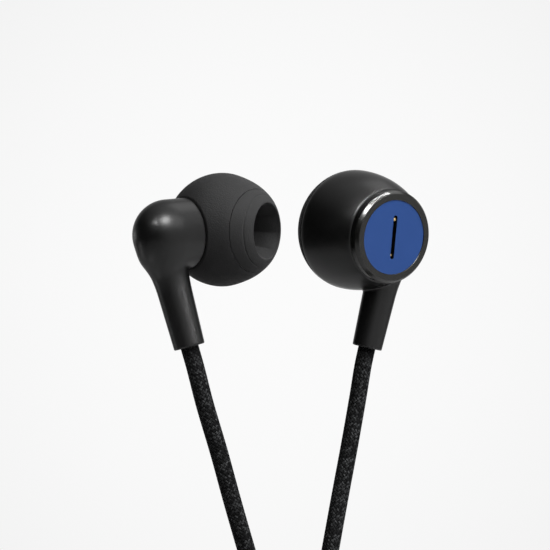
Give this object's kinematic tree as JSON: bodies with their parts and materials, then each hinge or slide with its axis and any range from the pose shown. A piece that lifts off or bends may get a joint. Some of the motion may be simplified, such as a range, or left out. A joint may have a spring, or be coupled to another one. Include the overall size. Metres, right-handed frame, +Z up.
{
  "type": "wired earphones",
  "caption": "Wired in-ear earphones with ball-shaped tips, flared stems, a slotted blue cap, a braided lead with a splitter and a straight jack plug.",
  "frame": {"origin": "middle of the ball-shaped left ear tip, where the left ear holds it", "axes": "+X from the left earpiece to the right one, -Y towards the front with the slotted cap, +Z up along the hanging lead"},
  "size_m": [0.0337, 0.0297, 0.2155],
  "materials": {
    "shell_black": "satin black moulding",
    "tip_silicone": "matte dark grey silicone",
    "core_silicone": "matte dark grey silicone, firmer",
    "nozzle_black": "matte black",
    "steel_mesh": "fine woven mesh",
    "ring_black": "gloss black",
    "cap_blue": "satin blue",
    "gold_mesh": "fine gold mesh",
    "basket_grey": "matte",
    "plated_steel": "nickel plated",
    "magnet_grey": "nickel plated magnet",
    "copper_wire": "enamelled copper",
    "film_clear": "thin film",
    "board_green": "solder mask",
    "rubber_black": "soft black",
    "crimp_brass": "bare",
    "braid": "braided black textile with grey flecks",
    "strap_black": "hook-and-loop strap",
    "contact_gold": "gold plated"
  },
  "bodies": {
    "earphones": {"left_shell": "shell_black", "left_nozzle": "nozzle_black", "left_nozzle_mesh": "steel_mesh", "left_basket": "basket_grey", "left_yoke": "plated_steel", "left_magnet": "magnet_grey", "left_pole_plate": "plated_steel", "left_voice_coil": "copper_wire", "left_diaphragm": "film_clear", "left_terminal_board": "board_green", "left_grommet": "rubber_black", "left_crimp": "crimp_brass", "right_shell": "shell_black", "right_baffle": "nozzle_black", "right_nozzle_mesh": "steel_mesh", "right_trim_ring": "ring_black", "right_cap": "cap_blue", "right_vent_mesh": "gold_mesh", "right_basket": "basket_grey", "right_yoke": "plated_steel", "right_magnet": "magnet_grey", "right_pole_plate": "plated_steel", "right_voice_coil": "copper_wire", "right_diaphragm": "film_clear", "right_terminal_board": "board_green", "right_grommet": "rubber_black", "right_crimp": "crimp_brass", "left_cord": "braid", "right_cord": "braid", "left_hank": "braid", "right_hank": "braid", "pair_tie": "strap_black", "splitter_shell": "shell_black", "splitter_cap": "rubber_black", "splitter_crimp": "crimp_brass", "main_cord": "braid", "main_hank": "braid", "main_tie": "strap_black", "plug_relief": "rubber_black", "plug_grip": "shell_black", "plug_sleeve": "contact_gold", "plug_insulator_upper": "rubber_black", "plug_ring": "contact_gold", "plug_insulator_lower": "rubber_black", "plug_tip": "contact_gold"},
    "left_tip": {"left_ear_tip": "tip_silicone", "left_tip_core": "core_silicone"},
    "right_tip": {"right_ear_tip": "tip_silicone", "right_tip_core": "core_silicone"}
  },
  "joints": [
    {"name": "left_tip_pull", "type": "slide", "parent": "earphones", "child": "left_tip", "axis": [0.8059, 0.5855, 0.0872], "range_m": [0, 0.005]},
    {"name": "right_tip_pull", "type": "slide", "parent": "earphones", "child": "right_tip", "axis": [-0.5716, 0.8103, 0.1288], "range_m": [0, 0.004]}
  ]
}
